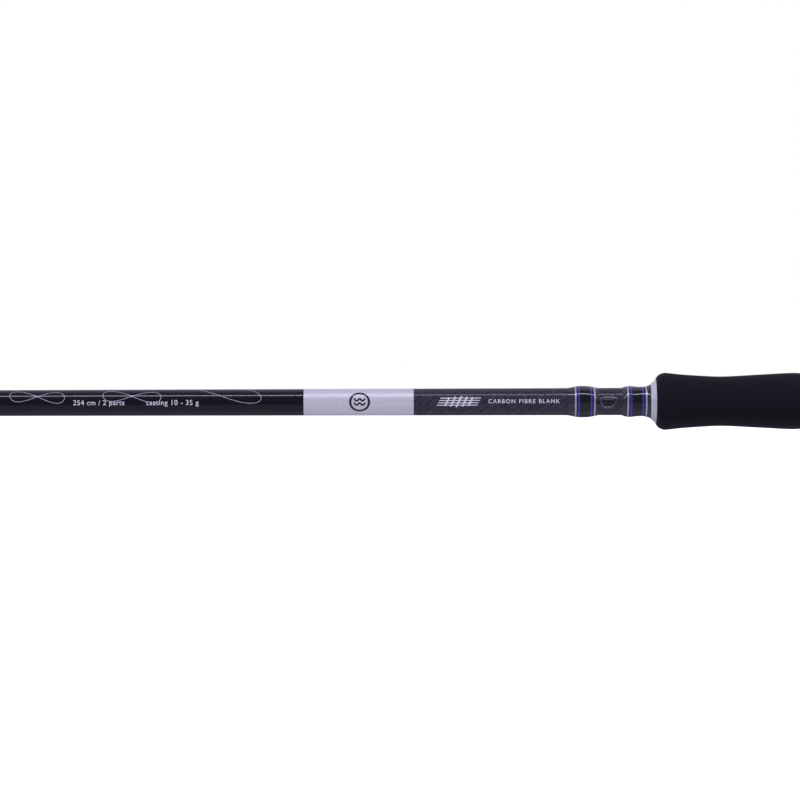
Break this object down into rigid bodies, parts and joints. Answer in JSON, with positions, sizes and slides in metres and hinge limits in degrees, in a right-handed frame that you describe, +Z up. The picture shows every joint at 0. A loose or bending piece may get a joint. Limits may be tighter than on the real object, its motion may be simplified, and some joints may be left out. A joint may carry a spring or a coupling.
{
  "type": "spinning rod",
  "caption": "Two-piece spinning fishing rod with foam grips, a screw-locked reel seat, a folding hook keeper, thread-wrapped line guides and a slip-over ferrule.",
  "frame": {"origin": "centre of the butt cap's end face, on the rod's axis", "axes": "+X runs along the rod from tip to butt (the tip is at about X = -2.54 m), +Y is the side of the guides and the reel foot, +Z is up with the rod lying on its side and the labels facing -Y"},
  "size_m": [2.54, 0.0678, 0.0328],
  "materials": {
    "carbon_blank": "clear-coated carbon fibre, black and silver, gloss",
    "eva_foam": "black EVA foam, matte, fine pores",
    "rubber": "matte black rubber",
    "silver_trim": "satin anodised",
    "seat_plastic": "graphite-filled, satin",
    "arbor": "foam bush",
    "hood_plastic": "graphite-filled, polished",
    "steel": "polished stainless steel",
    "guide_frame": "black chrome",
    "guide_ring": "polished oxide ceramic",
    "thread_wrap": "black thread under clear epoxy, silver and blue trim bands"
  },
  "bodies": {
    "butt_section": {"butt_blank": "carbon_blank", "butt_cap": "rubber", "butt_cap_ring": "silver_trim", "butt_grip": "eva_foam", "butt_grip_check": "silver_trim", "rear_grip": "eva_foam", "rear_grip_check": "silver_trim", "seat_body": "seat_plastic", "seat_arbors": "arbor", "fixed_hood": "hood_plastic", "fixed_hood_liner": "steel", "fore_grip": "eva_foam", "fore_grip_check": "silver_trim", "keeper_frame": "steel", "keeper_wrap_front": "thread_wrap", "keeper_wrap_rear": "thread_wrap", "guide_1_frame": "guide_frame", "guide_1_ring": "guide_ring", "guide_1_wrap": "thread_wrap"},
    "tip_section": {"tip_blank": "carbon_blank", "ferrule_ring": "silver_trim", "ferrule_wrap": "thread_wrap", "guide_2_frame": "guide_frame", "guide_2_ring": "guide_ring", "guide_2_wrap": "thread_wrap", "guide_3_frame": "guide_frame", "guide_3_ring": "guide_ring", "guide_3_wrap": "thread_wrap", "guide_4_frame": "guide_frame", "guide_4_ring": "guide_ring", "guide_4_wrap": "thread_wrap", "guide_5_frame": "guide_frame", "guide_5_ring": "guide_ring", "guide_5_wrap": "thread_wrap", "guide_6_frame": "guide_frame", "guide_6_ring": "guide_ring", "guide_6_wrap": "thread_wrap", "guide_7_frame": "guide_frame", "guide_7_ring": "guide_ring", "guide_7_wrap": "thread_wrap", "guide_8_frame": "guide_frame", "guide_8_ring": "guide_ring", "guide_8_wrap": "thread_wrap", "tip_top_frame": "guide_frame", "tip_top_ring": "guide_ring", "tip_top_wrap": "thread_wrap"},
    "moving_hood_body": {"moving_hood": "hood_plastic", "moving_hood_liner": "steel"},
    "lock_nut_body": {"lock_nut": "hood_plastic", "nut_ring": "silver_trim"},
    "keeper_bail_body": {"keeper_bail": "steel"}
  },
  "joints": [
    {"name": "tip_section_pull", "type": "slide", "parent": "butt_section", "child": "tip_section", "axis": [-1, 0, 0], "range_m": [0, 0.085]},
    {"name": "hood_slide", "type": "slide", "parent": "butt_section", "child": "moving_hood_body", "axis": [-1, 0, 0], "range_m": [0, 0.01201]},
    {"name": "nut_spin", "type": "hinge", "parent": "moving_hood_body", "child": "lock_nut_body", "pos_m": [-0.321, 0, 0], "axis": [-1, 0, 0], "range_deg": [0, 2160]},
    {"name": "keeper_swing", "type": "hinge", "parent": "butt_section", "child": "keeper_bail_body", "pos_m": [-0.522, -0.00777, 0.00145], "axis": [1, 0, 0], "range_deg": [-210, 12]}
  ],
  "couplings": [
    {"joint": "hood_slide", "follows": "nut_spin", "m_per_rad": 0.00031831}
  ]
}
